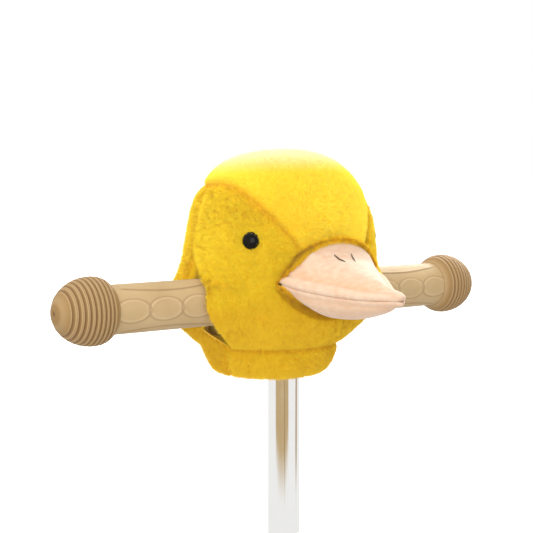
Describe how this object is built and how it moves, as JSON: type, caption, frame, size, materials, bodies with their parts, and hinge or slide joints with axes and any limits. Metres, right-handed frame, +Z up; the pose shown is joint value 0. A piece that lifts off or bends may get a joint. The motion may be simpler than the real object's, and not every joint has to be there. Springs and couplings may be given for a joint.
{
  "type": "hand puppet",
  "caption": "Plush duck head puppet with an opening beak, sleeved over a T-shaped handle that has two ribbed rubber grips and an open round stem.",
  "frame": {"origin": "on the stem's axis, at the stem's lower end", "axes": "+Z up along the stem; the beak points along -Y; the cross tube and its grips lie along X"},
  "size_m": [0.35, 0.1888, 0.3345],
  "materials": {
    "steel": "polished tube",
    "grip_rubber": "matt moulded rubber",
    "plush": "short yellow plush pile",
    "filling": "polyester filling",
    "lining": "woven lining",
    "eye": "glossy black",
    "washer": "moulded lock washer",
    "velour": "peach velour",
    "palate": "pink felt",
    "board": "flexible sheet",
    "strap": "woven elastic",
    "thread": "dark brown thread",
    "hook_loop": "hook and loop tape",
    "label": "blank satin label"
  },
  "bodies": {
    "t_bar": {"stem_tube": "steel", "cross_tube": "steel", "weld_bead": "steel", "right_grip": "grip_rubber", "left_grip": "grip_rubber"},
    "head": {"crown_panel": "plush", "right_cheek_panel": "plush", "left_cheek_panel": "plush", "right_back_panel": "plush", "left_back_panel": "plush", "neck_band": "plush", "crown_filling": "filling", "right_cheek_filling": "filling", "left_cheek_filling": "filling", "right_back_filling": "filling", "left_back_filling": "filling", "crown_lining": "lining", "right_cheek_lining": "lining", "left_cheek_lining": "lining", "right_back_lining": "lining", "left_back_lining": "lining", "neck_lining": "lining", "right_eye": "eye", "left_eye": "eye", "right_eye_washer": "washer", "left_eye_washer": "washer", "loop_strip": "hook_loop", "care_label": "label"},
    "closure_tab": {"closure_tab": "plush", "hook_strip": "hook_loop"},
    "upper_beak": {"upper_beak_cover": "velour", "upper_beak_filling": "filling", "upper_mouth_board": "board", "upper_palate": "palate", "finger_strap": "strap", "right_nostril": "thread", "left_nostril": "thread"},
    "jaw": {"lower_beak_cover": "velour", "lower_beak_filling": "filling", "lower_mouth_board": "board", "lower_palate": "palate", "thumb_strap": "strap"}
  },
  "joints": [
    {"name": "head_nod", "type": "hinge", "parent": "t_bar", "child": "head", "pos_m": [0, 0, 0.235], "axis": [-1, 0, 0], "range_deg": [-3, 12]},
    {"name": "jaw_open", "type": "hinge", "parent": "head", "child": "jaw", "pos_m": [0, -0.048, 0.249], "axis": [1, 0, 0], "range_deg": [0, 25], "stiffness_Nm_per_rad": 0.03, "springref_deg": -20.05},
    {"name": "upper_beak_lift", "type": "hinge", "parent": "head", "child": "upper_beak", "pos_m": [0, -0.048, 0.249], "axis": [-1, 0, 0], "range_deg": [0, 7]},
    {"name": "closure_tab_open", "type": "hinge", "parent": "head", "child": "closure_tab", "pos_m": [-0.017, 0.0602, 0.19665], "axis": [-0.119, 0.309, 0.9436], "range_deg": [0, 120]}
  ]
}
